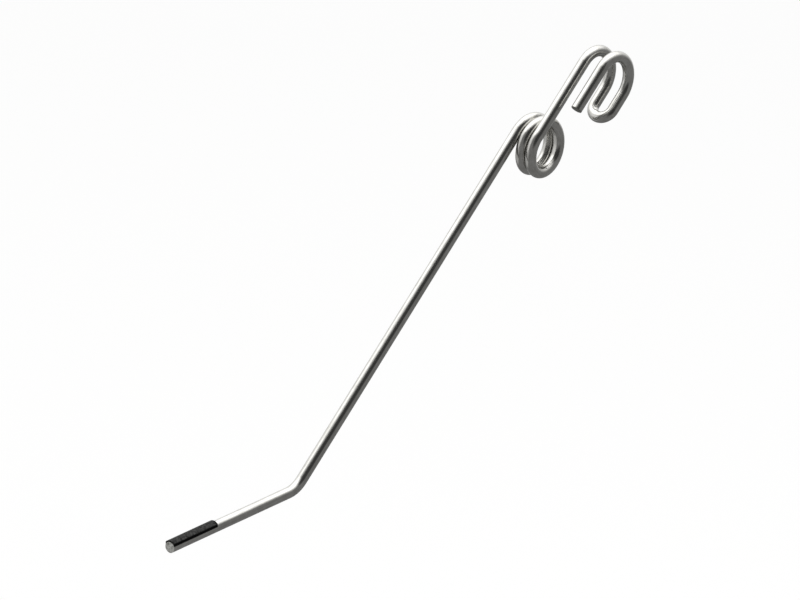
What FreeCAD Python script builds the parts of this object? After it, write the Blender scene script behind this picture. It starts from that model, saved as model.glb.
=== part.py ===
import FreeCAD, Part
import math
import os
import Sketcher

# Scraper tine: one length of round spring wire, wound and bent in one piece, with a raised
# hard facing over the upper side of its tip. Sizes are in millimetres.
#
# The wire is drawn upright, with the shank along Z, the coil's axis along Y and the carrier
# bar's axis along Y through the origin. Its placement then leans it about that bar until the
# toe is level, which is how the part is handed on. The hard facing is drawn on that level toe.

doc = FreeCAD.newDocument("ScraperTine")
vec = FreeCAD.Vector

sizes = [
    ("wire_dia", 8.0, "diameter of the round spring wire"),
    ("bar_seat", 27.5, "inside diameter of the double hook, over the carrier bar"),
    ("coil_inside", 27.5, "inside diameter of the spring coil"),
    ("coil_gap", 0.6, "gap between neighbouring turns of the coil"),
    ("coil_turns", 2.0, "full turns of the coil"),
    ("leg_length", 62.0, "coil axis to carrier bar axis"),
    ("strand_gap", 8.0, "gap between the two hooks"),
    ("turnback_drop", 13.0, "carrier bar axis to where the strands turn back"),
    ("free_end_drop", 35.0, "carrier bar axis to the cut end of the wire"),
    ("shank_length", 303.0, "coil axis to the corner between shank and toe"),
    ("toe_length", 133.0, "corner between shank and toe to the tip"),
    ("toe_angle", 40.0, "bend between shank and toe, in degrees"),
    ("bend_radius", 21.5, "radius of that bend on the wire's centre line"),
    ("lead_radius", 40.0, "radius that eases the straight wire into the coil's slope"),
    ("facing_length", 46.0, "length of the hard facing, from the tip"),
    ("facing_height", 1.1, "how far the hard facing stands above the wire"),
    ("facing_top_angle", 98.0, "angle round the wire across the facing's outer face, in degrees"),
    ("facing_foot_angle", 142.0, "angle round the wire across the facing's foot, in degrees"),
]

sheet = doc.addObject("Spreadsheet::Sheet", "Sizes")
for row, (alias, value, note) in enumerate(sizes, start=1):
    sheet.set(f"A{row}", note)
    sheet.set(f"B{row}", str(value))
    sheet.setAlias(f"B{row}", alias)
doc.recompute()


# Lengths that several shapes share, each written as a formula of the sheet's cells
def cell(name):
    return f"Sizes.{name}"


wireRadius = f"({cell('wire_dia')} / 2)"
hookRadius = f"(({cell('bar_seat')} + {cell('wire_dia')}) / 2)"
coilRadius = f"(({cell('coil_inside')} + {cell('wire_dia')}) / 2)"
pitch = f"({cell('wire_dia')} + {cell('coil_gap')})"
strandOffset = f"(({cell('strand_gap')} + {cell('wire_dia')}) / 2)"
slope = f"atan({pitch} / (2 * pi * {coilRadius}))"
leadDrop = f"({cell('lead_radius')} * sin({slope}))"
leadShift = f"({cell('lead_radius')} * (1 - cos({slope})))"
coilLevel = f"(-{cell('leg_length')})"
coilStart = f"({strandOffset} + {leadShift})"
coilEnd = f"({coilStart} + {pitch} * {cell('coil_turns')})"
shankOffset = f"({coilEnd} + {leadShift})"
bendCut = f"({cell('bend_radius')} * tan({cell('toe_angle')} / 2))"
cornerLevel = f"({coilLevel} - {cell('shank_length')})"
toeAcross = f"sin({cell('toe_angle')})"
toeDown = f"cos({cell('toe_angle')})"
facingRadius = f"({wireRadius} + {cell('facing_height')})"

# Directions that a flat arc lies in: seen along Y, and seen along X
acrossBar = FreeCAD.Rotation(vec(1, 0, 0), 90)
alongBar = FreeCAD.Rotation(vec(1, 1, 1), 120)


def bind(thing, name, formula):
    thing.setExpression(name, formula)


def bindPlace(thing, place):
    for axis, formula in zip("xyz", place):
        bind(thing, f"Placement.Base.{axis}", formula)


def straight(label, start, end):
    run = doc.addObject("Part::Line", label)
    for axis, first, last in zip("XYZ", start, end):
        bind(run, f"{axis}1", first)
        bind(run, f"{axis}2", last)
    return run


def bow(label, centre, radius, turn, fromAngle, toAngle):
    run = doc.addObject("Part::Circle", label)
    run.Placement = FreeCAD.Placement(vec(0, 0, 0), turn)
    bindPlace(run, centre)
    bind(run, "Radius", radius)
    bind(run, "Angle1", fromAngle)
    bind(run, "Angle2", toAngle)
    return run


# The wire's centre line, from its cut end over the bar, back over the bar, down the leg,
# round the coil, down the shank and along the toe
def outerHook():
    near = f"(-{strandOffset})"
    return [
        straight("FreeStrand", (f"-{hookRadius}", near, f"-{cell('free_end_drop')}"),
                 (f"-{hookRadius}", near, "0")),
        bow("OuterHook", ("0", near, "0"), hookRadius, acrossBar, "0", "180"),
        straight("OuterStrand", (hookRadius, near, "0"),
                 (hookRadius, near, f"-{cell('turnback_drop')}")),
    ]


def turnBack():
    return [bow("TurnBack", (hookRadius, "0", f"-{cell('turnback_drop')}"), strandOffset,
                alongBar, "180", "360")]


def innerHook():
    return [
        straight("InnerStrand", (hookRadius, strandOffset, f"-{cell('turnback_drop')}"),
                 (hookRadius, strandOffset, "0")),
        bow("InnerHook", ("0", strandOffset, "0"), hookRadius, acrossBar, "0", "180"),
        straight("Leg", (f"-{hookRadius}", strandOffset, "0"),
                 (f"-{hookRadius}", strandOffset, f"{coilLevel} + {leadDrop}")),
    ]


def coil():
    turns = doc.addObject("Part::Helix", "Coil")
    turns.LocalCoord = "Left-handed"
    turns.SegmentLength = 1
    turns.Placement = FreeCAD.Placement(vec(0, 0, 0), FreeCAD.Rotation(vec(0, 1, 1), 180))
    bindPlace(turns, (f"{coilRadius} - {hookRadius}", coilStart, coilLevel))
    bind(turns, "Radius", coilRadius)
    bind(turns, "Pitch", pitch)
    bind(turns, "Height", f"{pitch} * {cell('coil_turns')}")
    leadIn = bow("LeadIn", (f"-{hookRadius}", f"{strandOffset} + {cell('lead_radius')}",
                            f"{coilLevel} + {leadDrop}"),
                 cell("lead_radius"), alongBar, "180", f"180 + {slope} / 1 deg")
    leadOut = bow("LeadOut", (f"-{hookRadius}", f"{shankOffset} - {cell('lead_radius')}",
                              f"{coilLevel} - {leadDrop}"),
                  cell("lead_radius"), alongBar, "0", f"{slope} / 1 deg")
    return [leadIn, turns, leadOut]


def shankAndToe():
    corner = f"(-{hookRadius})"
    bendEnd = (f"{corner} - {bendCut} * {toeAcross}", shankOffset,
               f"{cornerLevel} - {bendCut} * {toeDown}")
    tip = (f"{corner} - {cell('toe_length')} * {toeAcross}", shankOffset,
           f"{cornerLevel} - {cell('toe_length')} * {toeDown}")
    return [
        straight("Shank", (corner, shankOffset, f"{coilLevel} - {leadDrop}"),
                 (corner, shankOffset, f"{cornerLevel} + {bendCut}")),
        bow("ToeBend", (f"{corner} - {cell('bend_radius')}", shankOffset,
                        f"{cornerLevel} + {bendCut}"),
            cell("bend_radius"), acrossBar, f"360 - {cell('toe_angle')}", "360"),
        straight("Toe", bendEnd, tip),
    ]


centreLine = doc.addObject("Part::Compound", "CentreLine")
centreLine.Links = outerHook() + turnBack() + innerHook() + coil() + shankAndToe()


# The round wire swept along its centre line, then leaned until the toe is level
def springWire(path):
    section = doc.addObject("Part::Circle", "WireSection")
    bindPlace(section, (f"-{hookRadius}", f"-{strandOffset}", f"-{cell('free_end_drop')}"))
    bind(section, "Radius", wireRadius)
    wire = doc.addObject("Part::Sweep", "spring_wire")
    wire.Sections = [section]
    wire.Spine = (path, [])
    wire.Solid = True
    wire.Frenet = False
    wire.Placement = FreeCAD.Placement(vec(0, 0, 0), FreeCAD.Rotation(vec(0, 1, 0), 50))
    bind(wire, "Placement.Rotation.Angle", f"90 - {cell('toe_angle')}")
    return wire


# The hard facing's section across the wire: a foot arc that lies on the wire's own surface,
# an outer arc, and a flank between them at each side
def facingArc(profile, radius, reach):
    ring = Part.Circle(vec(0, 0, 0), vec(0, 0, 1), 4)
    arc = profile.addGeometry(Part.ArcOfCircle(ring, math.pi / 6, math.pi * 5 / 6), False)
    profile.addConstraint(Sketcher.Constraint("Coincident", arc, 3, -1, 1))
    profile.addConstraint(Sketcher.Constraint("Symmetric", arc, 1, arc, 2, -2))
    size = profile.addConstraint(Sketcher.Constraint("Radius", arc, 4))
    bind(profile, f"Constraints[{size}]", radius)
    half = profile.addConstraint(Sketcher.Constraint("DistanceX", -1, 1, arc, 1, 3))
    bind(profile, f"Constraints[{half}]", f"{radius} * sin({reach} / 2)")
    return arc


def facingProfile(body):
    profile = body.newObject("Sketcher::SketchObject", "FacingProfile")
    plane = [f for f in body.Origin.OriginFeatures if f.Role == "YZ_Plane"][0]
    profile.AttachmentSupport = [(plane, "")]
    profile.MapMode = "FlatFace"
    foot = facingArc(profile, wireRadius, cell("facing_foot_angle"))
    top = facingArc(profile, facingRadius, cell("facing_top_angle"))
    for end in (1, 2):
        flank = profile.addGeometry(Part.LineSegment(vec(3, 2, 0), vec(3, 4, 0)), False)
        profile.addConstraint(Sketcher.Constraint("Coincident", flank, 1, foot, end))
        profile.addConstraint(Sketcher.Constraint("Coincident", flank, 2, top, end))
    return profile


def hardFacing():
    body = doc.addObject("PartDesign::Body", "hard_facing")
    layer = body.newObject("PartDesign::Pad", "FacingLayer")
    layer.Profile = facingProfile(body)
    bind(layer, "Length", cell("facing_length"))
    body.Tip = layer
    bindPlace(body, (
        f"-{hookRadius} * {toeAcross} + {cornerLevel} * {toeDown} - {cell('toe_length')}",
        shankOffset,
        f"{hookRadius} * {toeDown} + {cornerLevel} * {toeAcross}"))
    return body


parts = [springWire(centreLine), hardFacing()]
doc.recompute()

for thing in doc.Objects:
    if "Invalid" in thing.State or "Error" in thing.State:
        raise RuntimeError(f"{thing.Label} did not build: {thing.State}")

os.makedirs("parts", exist_ok=True)
for part in parts:
    if part.Shape.isNull() or not part.Shape.isValid():
        raise RuntimeError(f"{part.Label} is not a valid shape")
    part.Shape.exportStep(f"parts/{part.Label}.step")
    box = part.Shape.BoundBox
    print(part.Label, round(part.Shape.Volume, 1), "mm3, x", round(box.XMin, 2), round(box.XMax, 2),
          "y", round(box.YMin, 2), round(box.YMax, 2), "z", round(box.ZMin, 2), round(box.ZMax, 2))
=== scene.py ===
import bpy
import math
from mathutils import Matrix, Vector


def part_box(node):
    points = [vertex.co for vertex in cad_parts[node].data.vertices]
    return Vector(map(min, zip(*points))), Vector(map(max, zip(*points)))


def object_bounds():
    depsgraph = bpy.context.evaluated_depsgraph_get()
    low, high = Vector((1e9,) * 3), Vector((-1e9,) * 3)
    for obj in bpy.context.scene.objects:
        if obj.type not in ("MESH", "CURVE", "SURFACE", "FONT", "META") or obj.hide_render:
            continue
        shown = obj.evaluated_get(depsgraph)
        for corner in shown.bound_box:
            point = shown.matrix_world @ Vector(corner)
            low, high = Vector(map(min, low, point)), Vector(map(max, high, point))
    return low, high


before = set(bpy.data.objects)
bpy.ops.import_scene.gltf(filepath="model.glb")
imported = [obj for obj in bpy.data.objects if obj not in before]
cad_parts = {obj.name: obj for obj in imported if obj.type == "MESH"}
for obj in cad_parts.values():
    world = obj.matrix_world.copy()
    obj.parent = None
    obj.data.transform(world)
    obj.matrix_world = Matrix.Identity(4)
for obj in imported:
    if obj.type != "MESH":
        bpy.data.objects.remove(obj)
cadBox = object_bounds()
middle = (Vector(cadBox[0]) + Vector(cadBox[1])) / 2
print("frame loaded:", sorted(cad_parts))


def hexColor(text):
    # sRGB hex to the linear colour that a socket takes
    parts = [int(text[i:i + 2], 16) / 255 for i in (0, 2, 4)]
    return [c / 12.92 if c <= 0.04045 else ((c + 0.055) / 1.055) ** 2.4 for c in parts] + [1.0]


def addNode(tree, kind, settings=None, inputs=None, links=None):
    # a socket goes by its name, or by its number where a node has several of one name
    node = tree.nodes.new(kind)
    for name, value in (settings or {}).items():
        setattr(node, name, value)
    for key, value in (inputs or {}).items():
        node.inputs[key].default_value = value
    for key, socket in (links or {}).items():
        tree.links.new(socket, node.inputs[key])
    return node


def newMaterial(name):
    material = bpy.data.materials.new(name)
    material.use_nodes = True
    material.node_tree.nodes.clear()
    return material, material.node_tree


wire = {
    "radius": 0.004,
    "steelLight": "cfcecb",      # bright bare steel
    "steelDark": "aaa9a4",       # the same where the drawing soap stayed
    "toneSpread": (0.32, 0.68),  # stretch of the noise between the dark and the light steel
    "roughLow": 0.15,
    "roughHigh": 0.27,
    "roughSpread": (0.3, 0.7),   # stretch of it between the dull and the bright steel
    "mottleSize": 0.006,         # soft blotches about 6 mm long
    "lineShare": 0.6,            # how far the tone follows the lines, the rest the blotches
    "lineWidth": 0.0007,         # die lines are some 0.05 mm wide, drawn wider so that they show
    "lineDrift": 0.05,           # how far a line runs before it fades into the next
    "lineHeight": 0.00002,
    "lineBump": 0.5,
    "grainSize": 0.0005,         # fine pits and rub marks, drawn at half a millimetre
    "grainHeight": 0.000012,
    "grainBump": 0.35,
    "toeAngle": 40.0,            # degrees between shank and toe
    "freeEndDrop": 0.035,        # bar axis to the free end, along the shank
    "cutLight": "c9c9c5",        # freshly sheared ends
    "cutDark": "7b7b76",
    "cutMark": 0.0020,           # tear marks on a sheared end, drawn at about two millimetres
    "cutSpread": (0.35, 0.65),
    "cutDepth": 0.00005,         # how near its plane a point counts as on the cut face
}


def shearedEnds(tree, position, tone):
    # The two cut faces, found by their planes: torn, blotchy metal instead of drawn lines
    marks = addNode(tree, "ShaderNodeTexNoise",
                    inputs={"Scale": 1 / wire["cutMark"], "Detail": 4.0, "Roughness": 0.65},
                    links={"Vector": position})
    start, end = wire["cutSpread"]
    spread = addNode(tree, "ShaderNodeMapRange", inputs={"From Min": start, "From Max": end},
                     links={"Value": marks.outputs["Fac"]})
    torn = addNode(tree, "ShaderNodeMix", {"data_type": "RGBA"},
                   {6: hexColor(wire["cutDark"]), 7: hexColor(wire["cutLight"])},
                   {"Factor": spread.outputs[0]})
    lean = math.radians(wire["toeAngle"])
    downShank = (-math.cos(lean), 0, -math.sin(lean))
    tipReach = -cadBox[0][0]
    faces = []
    for direction, reach in (((-1, 0, 0), tipReach), (downShank, wire["freeEndDrop"])):
        depth = addNode(tree, "ShaderNodeVectorMath", {"operation": "DOT_PRODUCT"},
                        {1: direction}, {0: position})
        face = addNode(tree, "ShaderNodeMath", {"operation": "GREATER_THAN"},
                       {1: reach - wire["cutDepth"]}, {0: depth.outputs["Value"]})
        faces.append(face.outputs[0])
    # the free end's plane also cuts the other strand, so only the near strand counts
    split = addNode(tree, "ShaderNodeSeparateXYZ", links={"Vector": position})
    onFreeStrand = addNode(tree, "ShaderNodeMath", {"operation": "LESS_THAN"},
                           {1: -wire["radius"]}, {0: split.outputs["Y"]})
    freeEnd = addNode(tree, "ShaderNodeMath", {"operation": "MULTIPLY"},
                      links={0: faces[1], 1: onFreeStrand.outputs[0]})
    either = addNode(tree, "ShaderNodeMath", {"operation": "MAXIMUM"},
                     links={0: faces[0], 1: freeEnd.outputs[0]})
    mixed = addNode(tree, "ShaderNodeMix", {"data_type": "RGBA"},
                    links={"Factor": either.outputs[0], 6: tone, 7: torn.outputs[2]})
    return mixed.outputs[2]


def drawnSpringSteel():
    # Hard-drawn spring wire, bare and lightly oiled: pulling it through the die leaves a bright,
    # nearly mirror-like metal with faint lines along its whole length, which break up the long
    # highlights, and a soft uneven grey where drawing soap stayed on it
    material, tree = newMaterial("drawnSpringSteel")
    place = addNode(tree, "ShaderNodeTexCoord")
    # the surface's direction is the same all along a straight run, so noise read from it makes
    # lines that follow the wire, and shorter streaks round its bends
    around = addNode(tree, "ShaderNodeVectorMath", {"operation": "SCALE"},
                     {"Scale": wire["radius"] / wire["lineWidth"]},
                     {"Vector": place.outputs["Normal"]})
    along = addNode(tree, "ShaderNodeVectorMath", {"operation": "MULTIPLY_ADD"},
                    {1: [1 / wire["lineDrift"]] * 3},
                    {0: place.outputs["Object"], 2: around.outputs[0]})
    lines = addNode(tree, "ShaderNodeTexNoise",
                    inputs={"Scale": 1.0, "Detail": 3.0, "Roughness": 0.6},
                    links={"Vector": along.outputs[0]})
    mottle = addNode(tree, "ShaderNodeTexNoise",
                     inputs={"Scale": 1 / wire["mottleSize"], "Detail": 3.0, "Roughness": 0.55},
                     links={"Vector": place.outputs["Object"]})
    grain = addNode(tree, "ShaderNodeTexNoise",
                    inputs={"Scale": 1 / wire["grainSize"], "Detail": 2.0},
                    links={"Vector": place.outputs["Object"]})
    worn = addNode(tree, "ShaderNodeMix", {"data_type": "FLOAT"}, {"Factor": wire["lineShare"]},
                   {2: mottle.outputs["Fac"], 3: lines.outputs["Fac"]})
    start, end = wire["toneSpread"]
    spread = addNode(tree, "ShaderNodeMapRange", inputs={"From Min": start, "From Max": end},
                     links={"Value": worn.outputs[0]})
    tone = addNode(tree, "ShaderNodeMix", {"data_type": "RGBA"},
                   {6: hexColor(wire["steelDark"]), 7: hexColor(wire["steelLight"])},
                   {"Factor": spread.outputs[0]})
    finished = shearedEnds(tree, place.outputs["Object"], tone.outputs[2])
    start, end = wire["roughSpread"]
    rough = addNode(tree, "ShaderNodeMapRange",
                    inputs={"From Min": start, "From Max": end,
                            "To Min": wire["roughHigh"], "To Max": wire["roughLow"]},
                    links={"Value": worn.outputs[0]})
    scored = addNode(tree, "ShaderNodeBump",
                     inputs={"Strength": wire["lineBump"], "Distance": wire["lineHeight"]},
                     links={"Height": lines.outputs["Fac"]})
    pitted = addNode(tree, "ShaderNodeBump",
                     inputs={"Strength": wire["grainBump"], "Distance": wire["grainHeight"]},
                     links={"Height": grain.outputs["Fac"], "Normal": scored.outputs[0]})
    steel = addNode(tree, "ShaderNodeBsdfPrincipled", {"distribution": "GGX"}, {"Metallic": 1.0},
                    {"Base Color": finished, "Roughness": rough.outputs[0],
                     "Normal": pitted.outputs[0]})
    addNode(tree, "ShaderNodeOutputMaterial", links={"Surface": steel.outputs[0]})
    return material


facing = {
    "body": "171717",            # dull dark grey
    "bodyWorn": "3f3f3e",        # where the soil has rubbed it a little brighter
    "toneSpread": (0.36, 0.64),
    "edgeShade": "010101",            # painted shade: black along the bead's edges, in the corner against the wire
    "roughLow": 0.70,
    "roughHigh": 0.88,
    "roughSpread": (0.3, 0.7),
    "gloss": 0.1,                # its rough skin gives back very little light
    "height": 0.0011,            # how far it stands above the wire
    "flankShadeFull": 0.75,          # share of the height up to which the painted shade is full
    "flankShadeNone": 0.99,           # and from which there is none
    "shoulderShadeNone": 41.0,        # degrees round the wire from its top: here the painted shade begins
    "shoulderShadeFull": 49.0,       # and here it is full
    "endShadeNone": 0.0018,           # how far the painted shade reaches from the bead's inner end
    "endShadeFull": 0.0006,          # and how far it is full
    "grainSize": 0.0004,         # carbide grains, drawn at 0.4 mm
    "grainHeight": 0.00012,
    "grainBump": 0.5,
    "patchSize": 0.0016,         # rubbed patches, a few grains across
}


def weldedHardFacing():
    # Hard facing, carbide grains in an iron binder melted on to the wire: dull and dark, with
    # a fine even grain, and painted shade, black, along its edges against the wire and over its
    # shoulders
    material, tree = newMaterial("weldedHardFacing")
    place = addNode(tree, "ShaderNodeTexCoord")
    low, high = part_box("hard_facing")
    outerRadius = wire["radius"] + facing["height"]
    axis = Vector((0, (low[1] + high[1]) / 2, high[2] - outerRadius))
    offAxis = addNode(tree, "ShaderNodeVectorMath", {"operation": "SUBTRACT"},
                      {1: axis}, {0: place.outputs["Object"]})
    across = addNode(tree, "ShaderNodeVectorMath", {"operation": "MULTIPLY"},
                     {1: (0, 1, 1)}, {0: offAxis.outputs[0]})
    radius = addNode(tree, "ShaderNodeVectorMath", {"operation": "LENGTH"},
                     links={0: across.outputs[0]})
    split = addNode(tree, "ShaderNodeSeparateXYZ", links={"Vector": offAxis.outputs[0]})
    angle = addNode(tree, "ShaderNodeMath", {"operation": "ARCTAN2"},
                    links={0: split.outputs["Y"], 1: split.outputs["Z"]})
    turned = addNode(tree, "ShaderNodeMath", {"operation": "ABSOLUTE"},
                     links={0: angle.outputs[0]})
    # painted shade on the flanks, over the shoulders and at the inner end: 1 where the bead is
    # unshaded
    edges = (
        (radius.outputs["Value"], wire["radius"] + facing["flankShadeFull"] * facing["height"],
         wire["radius"] + facing["flankShadeNone"] * facing["height"], 0.0, 1.0),
        (split.outputs["X"], high[0] - facing["endShadeNone"], high[0] - facing["endShadeFull"], 1.0, 0.0),
        (turned.outputs[0], math.radians(facing["shoulderShadeNone"]),
         math.radians(facing["shoulderShadeFull"]), 1.0, 0.0),
    )
    fades = [addNode(tree, "ShaderNodeMapRange", {"interpolation_type": "SMOOTHSTEP"},
                     {"From Min": start, "From Max": end, "To Min": first, "To Max": last},
                     {"Value": value}).outputs[0] for value, start, end, first, last in edges]
    unshaded = fades[0]
    for fade in fades[1:]:
        unshaded = addNode(tree, "ShaderNodeMath", {"operation": "MULTIPLY"},
                       links={0: unshaded, 1: fade}).outputs[0]
    grain = addNode(tree, "ShaderNodeTexNoise",
                    inputs={"Scale": 1 / facing["grainSize"], "Detail": 4.0},
                    links={"Vector": place.outputs["Object"]})
    patch = addNode(tree, "ShaderNodeTexNoise",
                    inputs={"Scale": 1 / facing["patchSize"], "Detail": 4.0},
                    links={"Vector": place.outputs["Object"]})
    start, end = facing["toneSpread"]
    spread = addNode(tree, "ShaderNodeMapRange", inputs={"From Min": start, "From Max": end},
                     links={"Value": patch.outputs["Fac"]})
    tone = addNode(tree, "ShaderNodeMix", {"data_type": "RGBA"},
                   {6: hexColor(facing["body"]), 7: hexColor(facing["bodyWorn"])},
                   {"Factor": spread.outputs[0]})
    # painted shade: the bead's flanks, shoulders and inner end are darkened to black, as if shade
    # fell there
    edgeShaded = addNode(tree, "ShaderNodeMix", {"data_type": "RGBA"},
                    {6: hexColor(facing["edgeShade"])}, {"Factor": unshaded, 7: tone.outputs[2]})
    start, end = facing["roughSpread"]
    rough = addNode(tree, "ShaderNodeMapRange",
                    inputs={"From Min": start, "From Max": end,
                            "To Min": facing["roughLow"], "To Max": facing["roughHigh"]},
                    links={"Value": patch.outputs["Fac"]})
    rugged = addNode(tree, "ShaderNodeBump",
                     inputs={"Strength": facing["grainBump"], "Distance": facing["grainHeight"]},
                     links={"Height": grain.outputs["Fac"]})
    bead = addNode(tree, "ShaderNodeBsdfPrincipled",
                   inputs={"Specular IOR Level": facing["gloss"]},
                   links={"Base Color": edgeShaded.outputs[2], "Roughness": rough.outputs[0],
                          "Normal": rugged.outputs[0]})
    addNode(tree, "ShaderNodeOutputMaterial", links={"Surface": bead.outputs[0]})
    return material


def dressNode(name, material):
    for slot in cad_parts[name].material_slots:
        slot.material = material


dressNode("spring_wire", drawnSpringSteel())
dressNode("hard_facing", weldedHardFacing())
print("materials on both nodes")


def backgroundRays(tree):
    # 1 for a ray that looks at the background, straight on, in a reflection or through glass
    rays = addNode(tree, "ShaderNodeLightPath")
    seen = rays.outputs["Is Camera Ray"]
    for kind in ("Is Glossy Ray", "Is Transmission Ray"):
        seen = addNode(tree, "ShaderNodeMath", {"operation": "MAXIMUM"},
                       links={0: seen, 1: rays.outputs[kind]}).outputs[0]
    return seen


floorPaper = {
    "drop": 0.30,                # floor below the tine, which hangs on its bar
    "size": 30.0,
    "colour": "fbfbfa",
    "rough": 0.8,
    "whiteShare": 0.85,          # how much of its look is plain white; the rest holds the shadow
}


def paleFloor():
    # Matt coated paper off a roll: even, and too dull to show anything but the soft shadow
    level = cadBox[0][2] - floorPaper["drop"]
    bpy.ops.mesh.primitive_plane_add(size=floorPaper["size"], location=(0, 0, level))
    floor = bpy.context.object
    floor.name = "paleFloor"
    floor.visible_glossy = False   # the polish shows the tent's lower panels instead
    material, tree = newMaterial("mattPaper")
    paper = addNode(tree, "ShaderNodeBsdfPrincipled",
                    inputs={"Base Color": hexColor(floorPaper["colour"]),
                            "Roughness": floorPaper["rough"]})
    white = addNode(tree, "ShaderNodeEmission", inputs={"Strength": 1.0})
    share = addNode(tree, "ShaderNodeMath", {"operation": "MULTIPLY"},
                    {1: floorPaper["whiteShare"]}, {0: backgroundRays(tree)})
    seenFloor = addNode(tree, "ShaderNodeMixShader",
                        links={"Fac": share.outputs[0], 1: paper.outputs[0], 2: white.outputs[0]})
    addNode(tree, "ShaderNodeOutputMaterial", links={"Surface": seenFloor.outputs[0]})
    material.cycles.emission_sampling = "NONE"   # its white is for the eye and lights nothing
    floor.data.materials.append(material)


tent = {
    "radius": 2.5,
    "grey": 0.245,               # its plain cloth
    # each panel: the way it lies from the tine, how directly a place has to lie that way for
    # the panel to begin and to be full (1 is dead ahead), and its level outside and inside
    "panels": {
        "white": ((0.556, 0.588, 0.588), (0.13, 0.81), (0.0, 2.4)),   # above, behind the tine
        "skirt": ((0, 0, 1), (0.20, 0.85), (0.37, 1.0)),              # dims the white one's foot
        "shade": ((-0.32, -0.76, 0.57), (0.75, 0.93), (1.0, 0.204)),  # dark, above the viewer
        "low": ((-0.62, 0.70, -0.30), (0.62, 0.93), (0.0, 0.64)),     # pale, low on the left
        "beside": ((-0.60, 0.75, 0.28), (0.80, 0.97), (0.0, 1.1)),    # white, on the left
    },
}


def lightTent():
    # A tent of grey cloth round the tine, with brighter and darker panels, which only the
    # polished metal shows. Lit from behind, the cloth glows evenly and has no grain to see
    bpy.ops.mesh.primitive_uv_sphere_add(segments=64, ring_count=32, radius=tent["radius"],
                                         location=middle)
    shell = bpy.context.object
    shell.name = "lightTent"
    for ray in ("camera", "diffuse", "transmission", "volume_scatter", "shadow"):
        setattr(shell, "visible_" + ray, False)
    material, tree = newMaterial("tentCloth")
    place = addNode(tree, "ShaderNodeTexCoord")
    toward = addNode(tree, "ShaderNodeVectorMath", {"operation": "NORMALIZE"},
                     links={0: place.outputs["Object"]})
    level = {}
    for name, (direction, (start, full), (outside, inside)) in tent["panels"].items():
        ahead = addNode(tree, "ShaderNodeVectorMath", {"operation": "DOT_PRODUCT"},
                        {1: Vector(direction).normalized()}, {0: toward.outputs[0]})
        fade = addNode(tree, "ShaderNodeMapRange", {"interpolation_type": "SMOOTHSTEP"},
                       {"From Min": start, "From Max": full, "To Min": outside, "To Max": inside},
                       {"Value": ahead.outputs["Value"]})
        level[name] = fade.outputs[0]
    glow = addNode(tree, "ShaderNodeMath", {"operation": "MULTIPLY_ADD"}, {2: tent["grey"]},
                   {0: level["white"], 1: level["skirt"]}).outputs[0]
    for operation, name in (("MULTIPLY", "shade"), ("MAXIMUM", "low"), ("MAXIMUM", "beside")):
        glow = addNode(tree, "ShaderNodeMath", {"operation": operation},
                       links={0: glow, 1: level[name]}).outputs[0]
    cloth = addNode(tree, "ShaderNodeEmission", links={"Strength": glow})
    addNode(tree, "ShaderNodeOutputMaterial", links={"Surface": cloth.outputs[0]})
    shell.data.materials.append(material)


lights = {
    "world": 0.58,               # how brightly the white room lights the tine
    "lampSize": 1.2,
    # each lamp: its place from the middle of the tine, and its power
    "viewerSoftbox": ((-1.1, -1.2, 1.0), 23.0),    # leaves the far side of the dull facing darker
    "overheadSoftbox": ((0.5, 0.6, 1.8), 12.0),
}


def whiteWorld():
    world = bpy.data.worlds.new("studioWorld")
    bpy.context.scene.world = world
    world.use_nodes = True
    tree = world.node_tree
    tree.nodes.clear()
    light, white = [addNode(tree, "ShaderNodeBackground",
                            inputs={"Color": (1, 1, 1, 1), "Strength": strength})
                    for strength in (lights["world"], 1.0)]
    mix = addNode(tree, "ShaderNodeMixShader",
                  links={"Fac": backgroundRays(tree), 1: light.outputs[0], 2: white.outputs[0]})
    addNode(tree, "ShaderNodeOutputWorld", links={"Surface": mix.outputs[0]})


def softLamps():
    for name in ("viewerSoftbox", "overheadSoftbox"):
        offset, power = lights[name]
        data = bpy.data.lights.new(name, "AREA")
        data.shape, data.size, data.energy = "SQUARE", lights["lampSize"], power
        lamp = bpy.data.objects.new(name, data)
        bpy.context.collection.objects.link(lamp)
        lamp.location = middle + Vector(offset)
        lamp.rotation_euler = (middle - lamp.location).to_track_quat("-Z", "Y").to_euler()
        lamp.visible_glossy = False


paleFloor()
lightTent()
whiteWorld()
softLamps()
print("studio ready")

view = {
    "azimuth": -50.79,           # degrees round the tine, 0 looks along +Y
    "elevation": 23.34,
    "roll": 1.36,
    "distance": 18.193,          # far off with a long lens, as the photo has next to no perspective
    "lens": 1200.0,
    "sensor": 36.0,
    "clip": (0.1, 100),
    "acrossAim": -0.1393,        # from the bar's axis point to the middle of the picture
    "upAim": -0.1519,
}


def photoCamera():
    data = bpy.data.cameras.new("photoCamera")
    data.lens, data.sensor_width = view["lens"], view["sensor"]
    data.clip_start, data.clip_end = view["clip"]
    camera = bpy.data.objects.new("photoCamera", data)
    bpy.context.collection.objects.link(camera)
    turn = (Matrix.Rotation(math.radians(view["azimuth"]), 3, "Z")
            @ Matrix.Rotation(math.radians(90 - view["elevation"]), 3, "X")
            @ Matrix.Rotation(math.radians(view["roll"]), 3, "Z"))
    right, up, back = turn.col[0], turn.col[1], turn.col[2]
    aim = right * view["acrossAim"] + up * view["upAim"] + back * middle.dot(back)
    camera.matrix_world = Matrix.Translation(aim + back * view["distance"]) @ turn.to_4x4()
    bpy.context.scene.camera = camera


photoCamera()
bpy.context.scene.view_settings.view_transform = "Standard"
print("camera ready")
